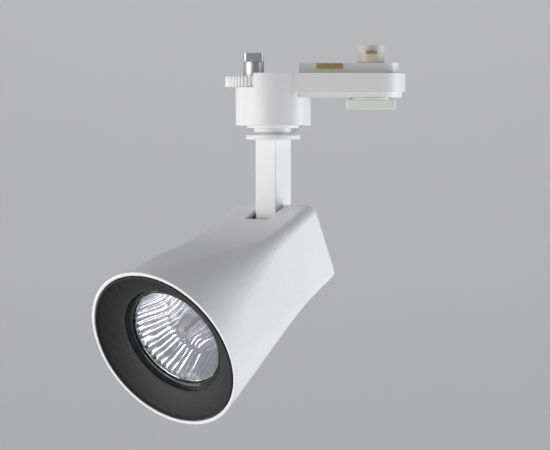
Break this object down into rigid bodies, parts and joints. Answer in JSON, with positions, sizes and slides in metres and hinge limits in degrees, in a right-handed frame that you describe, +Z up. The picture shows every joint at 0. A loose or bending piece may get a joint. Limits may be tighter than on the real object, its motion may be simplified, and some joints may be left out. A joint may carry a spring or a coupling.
{
  "type": "track spotlight",
  "caption": "Spotlight for a lighting track: adapter with locking dial and contact lever, square swivelling stem, and a flared tilting head with a matt baffle round a twist-lock reflector lamp.",
  "frame": {"origin": "on the pan axis, in the plane of the adapter's seat against the track's underside", "axes": "+Z up into the track, +X along the track out along the adapter's arm, +Y away from a viewer who sees the arm on the right"},
  "size_m": [0.1435, 0.118, 0.1717],
  "materials": {
    "white_plastic": "satin moulded",
    "pale_plastic": "satin moulded",
    "nylon": "moulded",
    "brass": "stamped",
    "zinc_steel": "zinc plated",
    "washer_fibre": "matt",
    "white_powder_coat": "fine textured white powder coat on die-cast aluminium",
    "dark_baffle": "matt, fine textured",
    "ceramic": "unglazed ceramic",
    "silvered_glass": "pressed glass with a bright reflecting coat",
    "clear_glass": "clear",
    "brown_lead": "silicone",
    "blue_lead": "silicone",
    "green_yellow_lead": "silicone"
  },
  "bodies": {
    "adapter": {"adapter_body": "white_plastic", "arm_lid": "white_plastic", "lid_screws": "zinc_steel", "line_busbar": "brass", "neutral_busbar": "brass", "earth_contacts": "brass", "terminal_block": "nylon", "terminal_screws": "zinc_steel", "swivel_plate": "white_plastic", "thrust_washer": "washer_fibre"},
    "contact_lever": {"contact_lever": "pale_plastic", "contact_turret": "nylon", "line_contact": "brass", "neutral_contact": "brass"},
    "locking_dial": {"locking_dial": "white_plastic", "locking_cam": "zinc_steel"},
    "stem": {"stem": "white_powder_coat", "stem_flange": "white_powder_coat", "spindle": "zinc_steel", "stop_washer": "zinc_steel", "wave_washer": "zinc_steel", "spindle_nut": "zinc_steel", "live_lead": "brown_lead", "neutral_lead": "blue_lead", "earth_lead": "green_yellow_lead"},
    "head": {"head_shell": "white_powder_coat", "tilt_bracket": "zinc_steel", "bracket_screws": "zinc_steel", "pivot_bolt": "zinc_steel", "friction_washers": "washer_fibre", "disc_spring": "zinc_steel", "pivot_lock_nut": "zinc_steel", "lamp_holder": "ceramic", "holder_screw": "zinc_steel", "holder_contacts": "zinc_steel", "holder_live_lead": "brown_lead", "holder_neutral_lead": "blue_lead", "earth_tag": "zinc_steel", "earth_screw": "zinc_steel", "baffle_ring": "dark_baffle"},
    "lamp": {"lamp_reflector": "silvered_glass", "lamp_cover_glass": "clear_glass", "lamp_base": "ceramic", "lamp_pins": "zinc_steel", "lamp_capsule": "clear_glass", "lamp_filament": "zinc_steel"}
  },
  "joints": [
    {"name": "pan", "type": "hinge", "parent": "adapter", "child": "stem", "pos_m": [0, 0, 0], "axis": [0, 0, 1], "range_deg": [-170, 170]},
    {"name": "tilt", "type": "hinge", "parent": "stem", "child": "head", "pos_m": [0, 0, -0.0832], "axis": [0.788, -0.6157, 0], "range_deg": [-20, 63]},
    {"name": "contact_lever_turn", "type": "hinge", "parent": "adapter", "child": "contact_lever", "pos_m": [0.0455, 0, 0], "axis": [0, 0, 1], "range_deg": [0, 90]},
    {"name": "locking_dial_turn", "type": "hinge", "parent": "adapter", "child": "locking_dial", "pos_m": [-0.00915, 0, 0], "axis": [0, 0, 1], "range_deg": [0, 90]},
    {"name": "lamp_twist", "type": "hinge", "parent": "head", "child": "lamp", "pos_m": [0, 0, -0.0832], "axis": [-0.5486, -0.7021, -0.454], "range_deg": [0, 20]}
  ]
}
